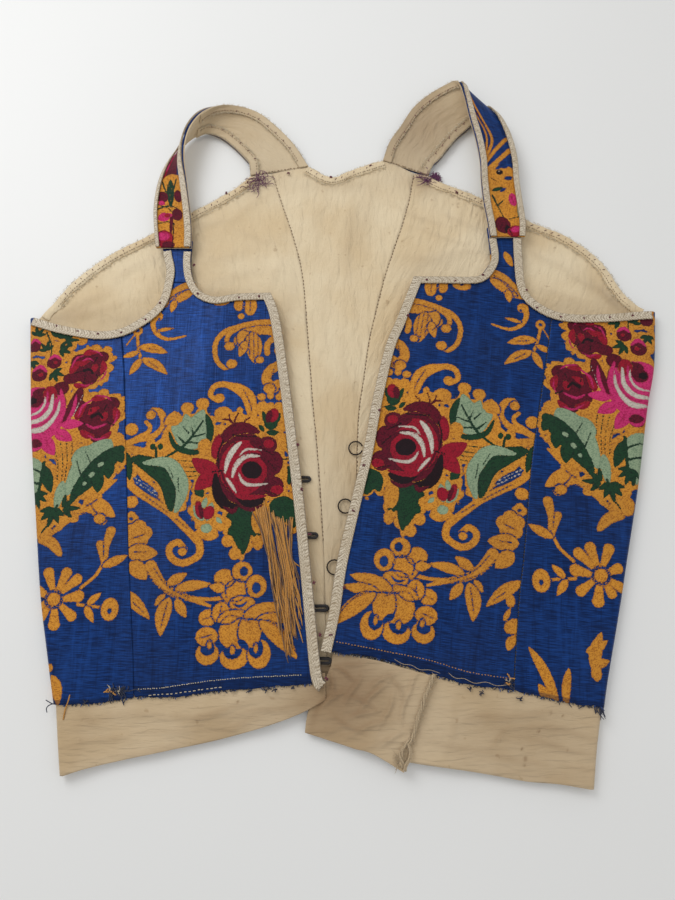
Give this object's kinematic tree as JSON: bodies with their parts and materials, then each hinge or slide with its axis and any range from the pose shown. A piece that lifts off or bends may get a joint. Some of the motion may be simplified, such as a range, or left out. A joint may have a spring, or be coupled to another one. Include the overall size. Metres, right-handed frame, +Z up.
{
  "type": "sleeveless brocade bodice laid flat",
  "caption": "Sleeveless front-opening bodice of floral brocade with cotton lining, narrow straps, silvery braid, hooks and eyes, and a cotton waist band, laid flat.",
  "frame": {"origin": "under the middle of the outline, on the surface that the bodice lies on", "axes": "+Y from the waist to the shoulders, +X to the right as one looks down on the fronts, +Z up from the surface"},
  "size_m": [0.438, 0.5038, 0.0218],
  "materials": {
    "brocade": "royal blue satin ground brocaded with gold, crimson, pink, white and green flowers and scrolls",
    "lining": "unbleached cotton, aged to tan, softly creased",
    "band": "thin cream cotton, creased, with a raw edge",
    "braid": "narrow herringbone braid of dull silver and cream thread",
    "wire": "dark japanned wire, worn"
  },
  "bodies": {
    "root": {"back_centre_brocade": "brocade", "back_centre_lining": "lining", "side_left_brocade": "brocade", "side_left_lining": "lining", "side_right_brocade": "brocade", "side_right_lining": "lining", "front_left_brocade": "brocade", "front_left_lining": "lining", "front_right_brocade": "brocade", "front_right_lining": "lining", "strap_tab_left": "brocade", "strap_tab_right": "brocade", "waist_band_left": "band", "waist_band_right": "band", "underlap": "band", "braid_neck_left": "braid", "braid_neck_right": "braid", "braid_armhole_left": "braid", "braid_armhole_right": "braid", "hem_armhole_left": "lining", "hem_armhole_right": "lining", "hem_neck": "lining", "strap_left_brocade": "brocade", "strap_left_lining": "lining", "braid_strap_left_neck": "braid", "braid_strap_left_arm": "braid", "hem_strap_left_neck": "lining", "hem_strap_left_arm": "lining", "strap_right_brocade": "brocade", "strap_right_lining": "lining", "braid_strap_right_neck": "braid", "braid_strap_right_arm": "braid", "hem_strap_right_neck": "lining", "hem_strap_right_arm": "lining", "hook_1": "wire", "hook_2": "wire", "hook_3": "wire", "hook_4": "wire", "eye_1": "wire", "eye_2": "wire", "eye_3": "wire", "eye_4": "wire"}
  },
  "joints": []
}
